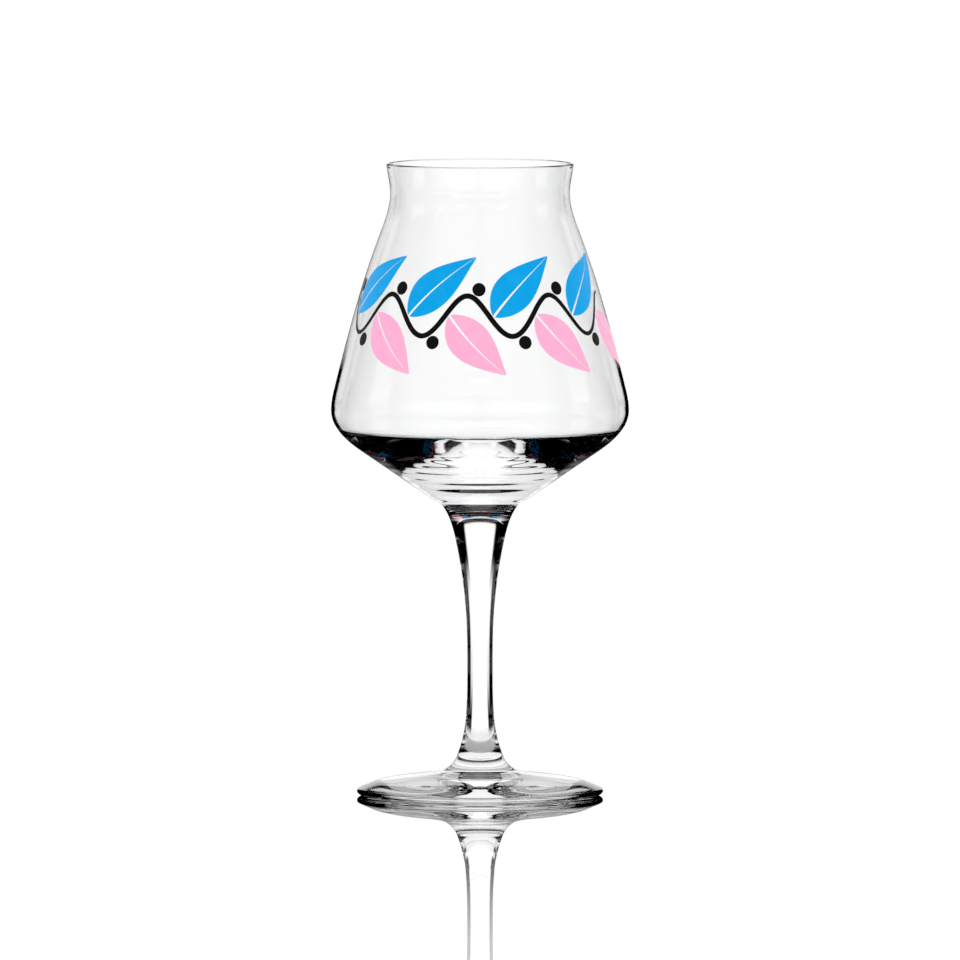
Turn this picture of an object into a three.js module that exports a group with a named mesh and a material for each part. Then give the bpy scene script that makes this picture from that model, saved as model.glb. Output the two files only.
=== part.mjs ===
// Stemmed beer glass: a blown bowl, a drawn stem and a pressed foot, fused end to end,
// with a leaf garland in fired enamel on the front of the bowl.
// Millimetres, +Z up, origin on the table at the axis of the glass, front towards -Y.
import * as THREE from 'three';

// Heights, stacked from the table to the rim
const FOOT_RISE = 12.2; // table to the joint of foot and stem
const STEM_LENGTH = 75.6; // joint to joint
const UNDERSIDE_RISE = 28.6; // joint of stem and bowl to the widest line of the belly
const FLANK_RISE = 65.8; // widest line of the belly to the narrowest line of the neck
const LIP_RISE = 9.0; // narrowest line of the neck to the top of the rim

// Foot
const FOOT_DIAMETER = 74.4;
const FOOT_EDGE_RISE = 1.4; // table to the widest line of the edge
const FOOT_EDGE_WIDTH = 1.7; // widest line of the edge in to where its rounding meets the dome
const FOOT_EDGE_HEIGHT = 1.2; // widest line of the edge up to where its rounding meets the dome
const FOOT_EDGE_LEAN = 27; // degrees from level where the rounding meets the dome
const DOME_RISE = 3.6; // edge rounding up to the flat of the dome
const DOME_REACH = 7.8; // foot of the sweep out to the flat of the dome
const DOME_LEAN = 7; // degrees from level
const SWEEP_RISE = 1.3; // flat of the dome up to the foot of the sweep that runs up to the stem
const SWEEP_REACH = 5.0; // stem out to the foot of the sweep
const SWEEP_LEAN = 14; // degrees from level
const EDGE_UNDERCUT = 2.8; // widest line of the edge in to the ring that stands on the table
const REST_RING_WIDTH = 1.9;
const UNDERSIDE_HOLLOW = 2.2; // rise of the hollow underside at the axis
const HOLLOW_LEAN = 7; // degrees from level, just inside the rest ring

// Stem
const STEM_BASE_DIAMETER = 13.7; // at the joint with the foot
const STEM_BASE_LEAN = 20; // degrees from upright
const ANKLE_DIAMETER = 8.8;
const ANKLE_RISE = 10.0; // joint with the foot up to the ankle
const ANKLE_LEAN = 5.5; // degrees from upright
const WAIST_DIAMETER = 7.7;
const WAIST_RISE = 31.8; // joint with the foot up to the thinnest point
const THROAT_DIAMETER = 14.6;
const THROAT_DROP = 10.6; // joint with the bowl down to the throat
const THROAT_LEAN = 12.4; // degrees from upright
const STEM_HEAD_DIAMETER = 22.8; // at the joint with the bowl
const STEM_HEAD_LEAN = 37; // degrees from upright

// Outside of the bowl
const CONE_FOOT_REACH = 3.7; // joint with the stem out to the bottom of the straight underside
const CONE_FOOT_RISE = 2.4; // joint with the stem up to the bottom of the straight underside
const CONE_TOP_TUCK = 8.8; // belly in to the top of the straight underside
const CONE_TOP_DROP = 11.9; // widest line of the belly down to the top of the straight underside
const BELLY_DIAMETER = 89.9;
const FLANK_FOOT_TUCK = 0.84; // belly in to the bottom of the flank
const FLANK_FOOT_RISE = 6.2; // widest line of the belly up to the bottom of the flank
const FLANK_FOOT_LEAN = 14; // degrees from upright
const FLANK_TOP_FLARE = 2.7; // neck out to the top of the flank
const FLANK_TOP_DROP = 11.2; // narrowest line of the neck down to the top of the flank
const FLANK_TOP_LEAN = 21; // degrees from upright
const NECK_DIAMETER = 54.2;
const RIM_DIAMETER = 56.4;
const RIM_LEAN = 5; // degrees from upright, the rim flares out

// Walls and the inside of the bowl
const RIM_WALL = 1.2;
const NECK_WALL = 0.9;
const FLANK_WALL = 0.9;
const BELLY_WALL = 1.05;
const SHOULDER_DROP = 6.1; // widest line of the belly down to the edge of the inner floor
const SHOULDER_TUCK = 2.9; // inner wall in to the edge of the inner floor
const INNER_FLOOR_LEAN = 4; // degrees from level at the edge of the inner floor
const FLOOR_THICKNESS = 20.4; // joint with the stem up to the inner floor, on the axis

// Leaf garland in fired enamel
const ENAMEL_THICKNESS = 0.15;
const ENAMEL_CLEARANCE = 0.12; // between the facets of the bowl and an enamel patch
const GARLAND_RISE = 30.6; // widest line of the belly up to the middle line of the vine
const GARLAND_WAVES = 4; // each wave of the vine holds a leaf and a berry on each side
const GARLAND_TURN = -6; // degrees that the middle of the vine is turned from the front
const PATTERN_GAP = 1.4; // bare glass between neighbours along the vine
const VINE_SWAY = 6; // middle line to a crest
const VINE_WIDTH = 1.6;
const LEAF_LENGTH = 25;
const LEAF_WIDTH = 12;
const LEAF_SWEEP = 3.6; // sideways sweep of the tip
const LEAF_LEAN = 52; // degrees between a leaf and the level line
const LEAF_GAP = 0.9; // edge of the vine to the base of a leaf
const LEAF_PHASE = 0.3; // base of an upper leaf, in waves after a crest
const BERRY_DIAMETER = 4;
const BERRY_GAP = 1.1; // edge of the vine to a berry
const TIP_WIDTH = 0.5; // least width of a patch at its ends
const VINE_TAPER = 0.4; // power of the taper, lower for blunter ends
const LEAF_FULLNESS = 0.75; // power that moves the widest part, lower for nearer the base

// Fineness of the facets
const TURN_SEGMENTS = 48;
const CURVE_STEPS = 5;
const LIP_STEPS = 6;
const VINE_STEPS_PER_WAVE = 14;
const LEAF_STEPS = 9;
const LEAF_COLUMNS = 4;
const BERRY_STEPS = 7;
const BERRY_COLUMNS = 3;

// Colours of the finishes
const clearGlass = { color: 0xeef4f3, roughness: 0.03, metalness: 0, transparent: true, opacity: 0.35 };
const skyBlueEnamel = { color: 0x01a2e9, roughness: 0.28, metalness: 0 };
const rosePinkEnamel = { color: 0xffb1d5, roughness: 0.28, metalness: 0 };
const blackEnamel = { color: 0x050505, roughness: 0.25, metalness: 0 };

// Headings of an outline, in degrees
const OUTWARD = 0;
const UPRIGHT = 90;
const INWARD = 180;
const DOWNWARD = 270;

// Derived places; heights of the bowl are above its joint with the stem
const JOINT_HEIGHT = FOOT_RISE + STEM_LENGTH;
const BELLY_HEIGHT = UNDERSIDE_RISE;
const NECK_HEIGHT = BELLY_HEIGHT + FLANK_RISE;
const LIP_HEIGHT = NECK_HEIGHT + LIP_RISE - RIM_WALL / 2;
const BELLY_RADIUS = BELLY_DIAMETER / 2;
const NECK_RADIUS = NECK_DIAMETER / 2;
const RIM_RADIUS = RIM_DIAMETER / 2;

const glassware = new THREE.Group();

// A place on an outline: radius, height, and the heading of the walk in degrees from outward towards up
function station(radius, height, heading) {
  return { point: new THREE.Vector2(radius, height), heading };
}

function headingVector(degrees) {
  const angle = THREE.MathUtils.degToRad(degrees);
  return new THREE.Vector2(Math.cos(angle), Math.sin(angle));
}

function headingBetween(from, to) {
  const way = to.clone().sub(from);
  return THREE.MathUtils.radToDeg(Math.atan2(way.y, way.x));
}

// A smooth outline through stations; a stretch whose headings both follow its chord stays one straight line
function outlineThrough(stations) {
  const points = [stations[0].point];
  for (let i = 1; i < stations.length; i += 1) {
    const from = stations[i - 1];
    const to = stations[i];
    const chord = headingVector(headingBetween(from.point, to.point));
    const leave = headingVector(from.heading);
    const arrive = headingVector(to.heading);
    const straight = chord.dot(leave) > 1 - 1e-6 && chord.dot(arrive) > 1 - 1e-6;
    const handle = from.point.distanceTo(to.point) / 3;
    const curve = new THREE.CubicBezierCurve(
      from.point,
      from.point.clone().addScaledVector(leave, handle),
      to.point.clone().addScaledVector(arrive, -handle),
      to.point,
    );
    points.push(...curve.getPoints(straight ? 1 : CURVE_STEPS).slice(1));
  }
  return points;
}

// A closed solid of revolution about the upright axis, from an outline that starts and ends on the axis
function turned(outline) {
  const geometry = new THREE.LatheGeometry(outline, TURN_SEGMENTS);
  geometry.rotateX(Math.PI / 2);
  return geometry;
}

function onAxis(height) {
  return new THREE.Vector2(0, height);
}

function addPiece(name, geometry, finish, height = 0) {
  const mesh = new THREE.Mesh(geometry, new THREE.MeshStandardMaterial(finish));
  mesh.name = name;
  mesh.position.z = height;
  glassware.add(mesh);
}

// Foot: hollow underside, flat rest ring, rounded edge, low dome and a sweep up to the stem
function footOutline() {
  const edge = FOOT_DIAMETER / 2;
  const ring = edge - EDGE_UNDERCUT;
  const stemBase = STEM_BASE_DIAMETER / 2;
  const roundingHeight = FOOT_EDGE_RISE + FOOT_EDGE_HEIGHT;
  const domeHeight = roundingHeight + DOME_RISE;
  const hollow = outlineThrough([
    station(0, UNDERSIDE_HOLLOW, OUTWARD),
    station(ring - REST_RING_WIDTH, 0, OUTWARD - HOLLOW_LEAN),
  ]);
  const top = outlineThrough([
    station(ring, 0, OUTWARD),
    station(edge, FOOT_EDGE_RISE, UPRIGHT),
    station(edge - FOOT_EDGE_WIDTH, roundingHeight, INWARD - FOOT_EDGE_LEAN),
    station(stemBase + SWEEP_REACH + DOME_REACH, domeHeight, INWARD - DOME_LEAN),
    station(stemBase + SWEEP_REACH, domeHeight + SWEEP_RISE, INWARD - SWEEP_LEAN),
    station(stemBase, FOOT_RISE, UPRIGHT + STEM_BASE_LEAN),
  ]);
  return [...hollow, ...top, onAxis(FOOT_RISE)];
}

// Stem: solid, drawn in to a slim waist, with a flat joint face at each end
function stemOutline() {
  const side = outlineThrough([
    station(STEM_BASE_DIAMETER / 2, 0, UPRIGHT + STEM_BASE_LEAN),
    station(ANKLE_DIAMETER / 2, ANKLE_RISE, UPRIGHT + ANKLE_LEAN),
    station(WAIST_DIAMETER / 2, WAIST_RISE, UPRIGHT),
    station(THROAT_DIAMETER / 2, STEM_LENGTH - THROAT_DROP, UPRIGHT - THROAT_LEAN),
    station(STEM_HEAD_DIAMETER / 2, STEM_LENGTH, UPRIGHT - STEM_HEAD_LEAN),
  ]);
  return [onAxis(0), ...side, onAxis(STEM_LENGTH)];
}

// Bowl, outside: conical underside, round belly, leaning flank, neck and flared lip
function bowlOutside() {
  const coneFoot = new THREE.Vector2(STEM_HEAD_DIAMETER / 2 + CONE_FOOT_REACH, CONE_FOOT_RISE);
  const coneTop = new THREE.Vector2(BELLY_RADIUS - CONE_TOP_TUCK, BELLY_HEIGHT - CONE_TOP_DROP);
  const coneHeading = headingBetween(coneFoot, coneTop);
  return outlineThrough([
    station(STEM_HEAD_DIAMETER / 2, 0, UPRIGHT - STEM_HEAD_LEAN),
    station(coneFoot.x, coneFoot.y, coneHeading),
    station(coneTop.x, coneTop.y, coneHeading),
    station(BELLY_RADIUS, BELLY_HEIGHT, UPRIGHT),
    station(BELLY_RADIUS - FLANK_FOOT_TUCK, BELLY_HEIGHT + FLANK_FOOT_RISE, UPRIGHT + FLANK_FOOT_LEAN),
    station(NECK_RADIUS + FLANK_TOP_FLARE, NECK_HEIGHT - FLANK_TOP_DROP, UPRIGHT + FLANK_TOP_LEAN),
    station(NECK_RADIUS, NECK_HEIGHT, UPRIGHT),
    station(RIM_RADIUS, LIP_HEIGHT, UPRIGHT - RIM_LEAN),
  ]);
}

// Bowl, inside: the wall runs down to a tight shoulder, and the thick floor is almost level
function bowlInside() {
  const innerBelly = BELLY_RADIUS - BELLY_WALL;
  const flankFoot = BELLY_RADIUS - FLANK_FOOT_TUCK - BELLY_WALL;
  const flankTop = NECK_RADIUS + FLANK_TOP_FLARE - FLANK_WALL;
  return outlineThrough([
    station(RIM_RADIUS - RIM_WALL, LIP_HEIGHT, DOWNWARD - RIM_LEAN),
    station(NECK_RADIUS - NECK_WALL, NECK_HEIGHT, DOWNWARD),
    station(flankTop, NECK_HEIGHT - FLANK_TOP_DROP, DOWNWARD + FLANK_TOP_LEAN),
    station(flankFoot, BELLY_HEIGHT + FLANK_FOOT_RISE, DOWNWARD + FLANK_FOOT_LEAN),
    station(innerBelly, BELLY_HEIGHT, DOWNWARD),
    station(innerBelly - SHOULDER_TUCK, BELLY_HEIGHT - SHOULDER_DROP, INWARD + INNER_FLOOR_LEAN),
    station(0, FLOOR_THICKNESS, INWARD),
  ]);
}

// The fire-polished rim: a half round over the wall
function lipArc() {
  const centre = new THREE.Vector2(RIM_RADIUS - RIM_WALL / 2, LIP_HEIGHT);
  const arc = new THREE.EllipseCurve(centre.x, centre.y, RIM_WALL / 2, RIM_WALL / 2, 0, Math.PI);
  return arc.getPoints(LIP_STEPS).slice(1, -1);
}

const outside = bowlOutside();
addPiece('foot', turned(footOutline()), clearGlass);
addPiece('stem', turned(stemOutline()), clearGlass, FOOT_RISE);
addPiece('bowl', turned([onAxis(0), ...outside, ...lipArc(), ...bowlInside()]), clearGlass, JOINT_HEIGHT);

// Radius of the bowl's outside at a height above the table, on its faceted flank
function bowlRadius(height) {
  const local = height - JOINT_HEIGHT;
  const above = outside.findIndex((point) => point.y > local);
  const low = outside[above - 1];
  const high = outside[above];
  return THREE.MathUtils.mapLinear(local, low.y, high.y, low.x, high.x);
}

// A point over the bowl: angle in radians from the front towards +X, height, and distance off the glass
function overBowl(angle, height, distance) {
  const radius = bowlRadius(height) + distance;
  return [radius * Math.sin(angle), -radius * Math.cos(angle), height];
}

// A thin closed enamel patch; place(i, j) gives the angle and height of each corner of its grid
function enamelPatch(steps, columns, place) {
  const positions = [];
  const index = [];
  const count = (steps + 1) * (columns + 1);
  const corner = (i, j) => i * (columns + 1) + j;
  for (const distance of [ENAMEL_CLEARANCE, ENAMEL_CLEARANCE + ENAMEL_THICKNESS]) {
    for (let i = 0; i <= steps; i += 1) {
      for (let j = 0; j <= columns; j += 1) {
        const { angle, height } = place(i, j);
        positions.push(...overBowl(angle, height, distance));
      }
    }
  }
  for (let i = 0; i < steps; i += 1) {
    for (let j = 0; j < columns; j += 1) {
      const [a, b, c, d] = [corner(i, j), corner(i + 1, j), corner(i + 1, j + 1), corner(i, j + 1)];
      index.push(count + a, count + b, count + c, count + a, count + c, count + d);
      index.push(a, c, b, a, d, c);
    }
  }
  const border = [];
  for (let i = 0; i < steps; i += 1) border.push(corner(i, 0));
  for (let j = 0; j < columns; j += 1) border.push(corner(steps, j));
  for (let i = steps; i > 0; i -= 1) border.push(corner(i, columns));
  for (let j = columns; j > 0; j -= 1) border.push(corner(0, j));
  border.forEach((from, k) => {
    const to = border[(k + 1) % border.length];
    index.push(from, to, count + to, from, count + to, count + from);
  });
  const geometry = new THREE.BufferGeometry();
  geometry.setAttribute('position', new THREE.Float32BufferAttribute(positions, 3));
  geometry.setIndex(index);
  return geometry;
}

// Leaf: widest near its base and drawn out to a point; the share runs from its base to its tip
function leafWidth(share) {
  const fullness = Math.sin(Math.PI * share ** LEAF_FULLNESS);
  return TIP_WIDTH + (LEAF_WIDTH - TIP_WIDTH) * fullness;
}

// How far a leaf bulges back past its own base, along the level line
function leafOverhang() {
  const lean = THREE.MathUtils.degToRad(LEAF_LEAN);
  let overhang = 0;
  for (let i = 0; i <= LEAF_STEPS; i += 1) {
    const share = i / LEAF_STEPS;
    const back = (leafWidth(share) / 2) * Math.sin(lean) - share * LEAF_LENGTH * Math.cos(lean);
    overhang = Math.max(overhang, back);
  }
  return overhang;
}

// A wave of the vine is as long as a leaf, a berry and the bare glass between them
const GARLAND_HEIGHT = JOINT_HEIGHT + BELLY_HEIGHT + GARLAND_RISE;
const leafLean = THREE.MathUtils.degToRad(LEAF_LEAN);
const leafReach = LEAF_LENGTH * Math.cos(leafLean) + (LEAF_WIDTH / 2) * Math.sin(leafLean);
const waveLength = leafReach + BERRY_DIAMETER + 2 * PATTERN_GAP;
const waveTurn = waveLength / bowlRadius(GARLAND_HEIGHT);
const berryPhase = LEAF_PHASE - (leafOverhang() + PATTERN_GAP + BERRY_DIAMETER / 2) / waveLength;
const HALF_WAVE = 0.5;

// The vine's wave, by its phase in whole waves from the left end
function vineAngle(wave) {
  return THREE.MathUtils.degToRad(GARLAND_TURN) + waveTurn * (wave - GARLAND_WAVES / 2);
}

function vineHeight(wave) {
  return GARLAND_HEIGHT + VINE_SWAY * Math.cos(2 * Math.PI * wave);
}

// Lean of the vine on the surface of the glass, in radians from the level line
function vineLean(wave) {
  const climb = -2 * Math.PI * VINE_SWAY * Math.sin(2 * Math.PI * wave);
  return Math.atan2(climb, waveTurn * bowlRadius(vineHeight(wave)));
}

// A point beside the vine: along and across are millimetres on the glass, turned by lean in radians
function besideVine(wave, start, lean, along, across) {
  const sideways = along * Math.cos(lean) - across * Math.sin(lean);
  const upwards = start + along * Math.sin(lean) + across * Math.cos(lean);
  const height = vineHeight(wave) + upwards;
  return { angle: vineAngle(wave) + sideways / bowlRadius(height), height };
}

// Vine: a ribbon that thins towards both ends
function vine() {
  const steps = GARLAND_WAVES * VINE_STEPS_PER_WAVE;
  return enamelPatch(steps, 1, (i, j) => {
    const wave = i / VINE_STEPS_PER_WAVE;
    const taper = Math.sin((Math.PI * i) / steps) ** VINE_TAPER;
    const width = TIP_WIDTH + (VINE_WIDTH - TIP_WIDTH) * taper;
    return besideVine(wave, 0, vineLean(wave), 0, (j - 0.5) * width);
  });
}

// A leaf springs from the vine and sweeps along it; side is +1 above the vine and -1 below
function leaf(wave, side) {
  const start = side * (VINE_WIDTH / 2 + LEAF_GAP);
  return enamelPatch(LEAF_STEPS, LEAF_COLUMNS, (i, j) => {
    const share = i / LEAF_STEPS;
    const across = (j / LEAF_COLUMNS - 0.5) * leafWidth(share) - side * LEAF_SWEEP * share ** 2;
    return besideVine(wave, start, side * leafLean, share * LEAF_LENGTH, across);
  });
}

// Berry: a round dot, cut a little short at the two ends of its grid
function berry(wave, side) {
  const radius = BERRY_DIAMETER / 2;
  const middle = side * (VINE_WIDTH / 2 + BERRY_GAP + radius);
  const endTurn = Math.asin(TIP_WIDTH / BERRY_DIAMETER);
  return enamelPatch(BERRY_STEPS, BERRY_COLUMNS, (i, j) => {
    const turn = THREE.MathUtils.lerp(endTurn, Math.PI - endTurn, i / BERRY_STEPS);
    const across = (2 * (j / BERRY_COLUMNS) - 1) * radius * Math.sin(turn);
    return besideVine(wave, middle, 0, -radius * Math.cos(turn), across);
  });
}

addPiece('garland_vine', vine(), blackEnamel);
for (let k = 0; k < GARLAND_WAVES; k += 1) {
  addPiece(`blue_leaf_${k + 1}`, leaf(k + LEAF_PHASE, 1), skyBlueEnamel);
  addPiece(`pink_leaf_${k + 1}`, leaf(k + LEAF_PHASE + HALF_WAVE, -1), rosePinkEnamel);
  addPiece(`upper_berry_${k + 1}`, berry(k + berryPhase, 1), blackEnamel);
  addPiece(`lower_berry_${k + 1}`, berry(k + berryPhase + HALF_WAVE, -1), blackEnamel);
}

export default glassware;
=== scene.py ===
# %% [markdown]
# # A stemmed beer glass
# The glass is a wide blown bowl on a drawn stem and a pressed foot, with a leaf garland in fired enamel
# on the front. The solids of the part are loaded first, because every piece below takes its size and its
# place from them. Lengths are in metres, +Z is up, and the front of the glass looks towards -Y.

# %% Load the solids
import math
import bmesh
import bpy
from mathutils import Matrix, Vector


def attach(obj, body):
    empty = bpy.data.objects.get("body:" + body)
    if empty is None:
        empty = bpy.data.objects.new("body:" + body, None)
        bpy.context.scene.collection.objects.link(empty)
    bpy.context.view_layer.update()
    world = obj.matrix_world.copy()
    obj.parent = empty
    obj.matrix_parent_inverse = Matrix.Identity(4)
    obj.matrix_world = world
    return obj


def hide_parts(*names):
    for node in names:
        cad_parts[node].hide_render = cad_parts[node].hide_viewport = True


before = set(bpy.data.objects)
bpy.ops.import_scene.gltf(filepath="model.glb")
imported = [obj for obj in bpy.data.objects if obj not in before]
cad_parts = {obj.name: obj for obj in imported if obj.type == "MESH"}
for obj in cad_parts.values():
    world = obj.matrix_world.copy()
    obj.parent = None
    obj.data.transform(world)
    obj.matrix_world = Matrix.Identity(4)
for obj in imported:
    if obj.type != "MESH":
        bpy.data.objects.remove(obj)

scene = bpy.context.scene
MM = 0.001
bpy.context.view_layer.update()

# %% [markdown]
# ## The camera
# The photograph shows the rim almost edge on and the foot only a little more from above, so the camera
# stood far away and a little above the glass. A long lens from 6.5 metres gives the same flat view. A
# short lens close by would open the rim and the foot into wide ovals.

# %% Camera
CAMERA_PLACE = Vector((0.0, -6.5, 0.511))
LOOK_AT = Vector((0.0, 0.0, 0.0954))
LENS = 809.0  # millimetres, on a 36 mm sensor
FARTHEST = 200.0

camera_data = bpy.data.cameras.new("camera")
camera_data.lens = LENS
camera_data.clip_end = FARTHEST
camera = bpy.data.objects.new("camera", camera_data)
camera.location = CAMERA_PLACE
camera.rotation_euler = (LOOK_AT - CAMERA_PLACE).to_track_quat("-Z", "Y").to_euler()
scene.collection.objects.link(camera)
scene.camera = camera
looks_down = math.asin((CAMERA_PLACE - LOOK_AT).normalized().z)
print("camera looks down by degrees:", round(math.degrees(looks_down), 2))

# %% [markdown]
# ## The outline of the glass
# Foot, stem and bowl are fused while hot, so on the real glass no surface is left inside at the two
# joints. Light goes straight through them. Three touching meshes would show a mirror at each joint, so
# the visible glass is one mesh, made from the outlines of the three solids with the joint faces left
# out. The solids have few facets: a smooth curve goes through their corners.

# %% Read the outline off the solids
TOUCH = 2e-6  # metres within which two corners are one


def half_outline(node):
    """Outline of a turned solid, as (radius, height) points from its lower end to its upper end."""
    solid = bmesh.new()
    solid.from_mesh(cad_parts[node].data)
    bmesh.ops.remove_doubles(solid, verts=solid.verts, dist=TOUCH)
    in_half_plane = {v for v in solid.verts if abs(v.co.x) < TOUCH and v.co.y < TOUCH}
    beside = {}
    for corner in in_half_plane:
        others = [edge.other_vert(corner) for edge in corner.link_edges]
        beside[corner] = [other for other in others if other in in_half_plane]
    here = min((v for v in beside if len(beside[v]) == 1), key=lambda v: v.co.z)
    walk = [here]
    while True:
        ahead = [v for v in beside[here] if v not in walk[-2:]]
        if not ahead:
            break
        here = ahead[0]
        walk.append(here)
    outline = [Vector((max(0.0, -v.co.y), v.co.z)) for v in walk]
    solid.free()
    return outline


foot_outline = half_outline("foot")
stem_outline = half_outline("stem")
bowl_outline = half_outline("bowl")
corners = foot_outline[:-1] + stem_outline[2:-1] + bowl_outline[2:]
print("corners of the fused outline:", len(corners))

# %% [markdown]
# A curve through the corners needs a heading at each one. Where two stretches meet, the turn between
# them is shared out by how much each one bends, so a straight stretch keeps its line and an arc keeps its
# roundness. The long straight underside and the flat ring on the table are kept straight.

# %% Headings of the outline
LONG = 3.0  # a chord this many times longer than both neighbours is a straight stretch


def turn_between(first, second):
    return (second - first + math.pi) % (2 * math.pi) - math.pi


def headings_at(points):
    """Heading of the outline at each corner, in radians from outward towards up."""
    chords = [b - a for a, b in zip(points, points[1:])]
    ways = [math.atan2(c.y, c.x) for c in chords]
    turns = [0.0] + [turn_between(a, b) for a, b in zip(ways, ways[1:])] + [0.0]
    bends = []
    for k, chord in enumerate(chords):
        nearby = chords[max(k - 1, 0) : k] + chords[k + 1 : k + 2]
        on_table = max(points[k].y, points[k + 1].y) < TOUCH
        straight = on_table or all(chord.length > LONG * other.length for other in nearby)
        bends.append(0.0 if straight else min(abs(turns[k]), abs(turns[k + 1])))
    headings = [0.0]
    for k in range(1, len(chords)):
        whole = bends[k - 1] + bends[k]
        share = bends[k - 1] / whole if whole else 0.5
        headings.append(ways[k - 1] + turns[k] * share)
    return headings + [math.pi]


corner_headings = headings_at(corners)
print("headings of the outline:", len(corner_headings))

# %% [markdown]
# Each stretch between two corners is a cubic curve with these headings at its ends. It is cut into more
# steps where it turns more, so round edges stay round close up and straight stretches stay light.

# %% Smooth the outline
STEP_TURN = math.radians(2.0)  # turn of the outline from one fine point to the next
FEWEST_STEPS = 2
MOST_STEPS = 10


def smooth_outline(points, headings):
    """Fine points of a smooth curve through the corners of an outline, with a heading at each one."""
    fine = []
    for k, (a, b) in enumerate(zip(points, points[1:])):
        handle = (b - a).length / 3
        leave = a + handle * Vector((math.cos(headings[k]), math.sin(headings[k])))
        arrive = b - handle * Vector((math.cos(headings[k + 1]), math.sin(headings[k + 1])))
        turn = abs(turn_between(headings[k], headings[k + 1]))
        steps = min(MOST_STEPS, max(FEWEST_STEPS, math.ceil(turn / STEP_TURN)))
        for i in range(steps):
            t = i / steps
            s = 1 - t
            fine.append(s**3 * a + 3 * s * s * t * leave + 3 * s * t * t * arrive + t**3 * b)
    fine.append(points[-1])
    return [Vector((max(0.0, p.x), max(0.0, p.y))) for p in fine]


outline = smooth_outline(corners, corner_headings)
print("fine points of the outline:", len(outline))

# %% [markdown]
# ## Writing node trees as plain sums
# Finishes and shapes below are node trees. A small class wraps a socket, so that `1 - mask * 0.5` in
# Python adds the Math nodes that work it out. Every other node comes from one method, which takes the
# node's type, its settings and the values or links of its sockets. The alternative, a line for every
# node and every link, would hide what the tree does.

# %% Sockets that take part in sums
def pick(sockets, key):
    """A socket by its place or its name, among those that the node's settings leave in use."""
    usable = [socket for socket in sockets if socket.enabled]
    if isinstance(key, int):
        return usable[key]
    return next(socket for socket in usable if socket.name == key)


class Value:
    """A socket that takes part in Python sums."""

    def __init__(self, graph, socket):
        self.graph = graph
        self.socket = socket

    def out(self, key):
        return Value(self.graph, pick(self.socket.node.outputs, key))

    def __add__(self, other):
        return self.graph.maths("ADD", self, other)

    def __sub__(self, other):
        return self.graph.maths("SUBTRACT", self, other)

    def __rsub__(self, other):
        return self.graph.maths("SUBTRACT", other, self)

    def __mul__(self, other):
        return self.graph.maths("MULTIPLY", self, other)

    def __truediv__(self, other):
        return self.graph.maths("DIVIDE", self, other)

    def __rtruediv__(self, other):
        return self.graph.maths("DIVIDE", other, self)

    def __abs__(self):
        return self.graph.maths("ABSOLUTE", self)

    __radd__ = __add__
    __rmul__ = __mul__

# %% [markdown]
# A few sums come back in most trees: a soft change from 0 to 1, a soft band between two such changes, a mix
# of two colours, and the three parts of a place or a direction. They are methods of the tree, so that the
# finishes below read like their descriptions.

# %% Node trees
class Graph:
    """A node tree to which nodes are added by their type, settings and sockets."""

    def __init__(self, tree):
        self.tree = tree
        tree.nodes.clear()

    def add(self, kind, settings=None, sockets=None):
        node = self.tree.nodes.new(kind)
        for name, value in (settings or {}).items():
            setattr(node, name, value)
        for key, value in (sockets or {}).items():
            socket = pick(node.inputs, key)
            if isinstance(value, Value):
                self.tree.links.new(value.socket, socket)
            else:
                socket.default_value = value
        return Value(self, node.outputs[0]) if node.outputs else None

    def maths(self, operation, *terms):
        return self.add("ShaderNodeMath", {"operation": operation}, dict(enumerate(terms)))

    def smooth_step(self, value, start, end):
        """0 before start and 1 after end, with a soft change between them."""
        settings = {"interpolation_type": "SMOOTHSTEP"}
        return self.add("ShaderNodeMapRange", settings, {"Value": value, "From Min": start, "From Max": end})

    def band(self, value, start, end):
        """1 between two soft changes and 0 outside them; each is given by its two ends."""
        return self.smooth_step(value, *start) * (1 - self.smooth_step(value, *end))

    def mix_colours(self, share, first, second):
        sockets = {"Factor": share, "A": first, "B": second}
        return self.add("ShaderNodeMix", {"data_type": "RGBA"}, sockets).out("Result")

    def parts(self, vector):
        return self.add("ShaderNodeSeparateXYZ", None, {"Vector": vector})


def new_finish(name):
    """An empty node material; gives the material and its graph."""
    material = bpy.data.materials.new(name)
    material.use_nodes = True
    return material, Graph(material.node_tree)

# %% [markdown]
# ## Clear glass
# The glass is colourless and clear, and everything that shows in it is the studio, bent by its curves. So
# the finish is mostly a true refraction. What makes it glass and not an ideal lens is small. The drawn stem
# and the blown wall are not quite even, so a faint waviness bends the reflections. Just above the stem,
# which is drawn hot out of the bowl, fine rings stay in the surface. They cut the light there into thin
# curved lines, as in the photograph. A bump is enough for both, because they don't change the outline.

# %% Uneven surface of the glass
WAVE_SCALE = (60.0, 60.0, 140.0)  # waves per metre, across and upwards
WAVE_STRENGTH = 0.02
WAVE_DEPTH = 0.2 * MM
RING_PITCH = 2.3 * MM
RING_DEPTH = 0.03 * MM
RINGS_START = (86 * MM, 89 * MM)  # heights between which the rings begin
RINGS_END = (98 * MM, 103 * MM)


def faint_waves(graph, place):
    scaled = graph.add("ShaderNodeMapping", None, {"Vector": place, "Scale": WAVE_SCALE})
    return graph.add("ShaderNodeTexNoise", None, {"Vector": scaled, "Scale": 1.0, "Detail": 1.0})


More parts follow.
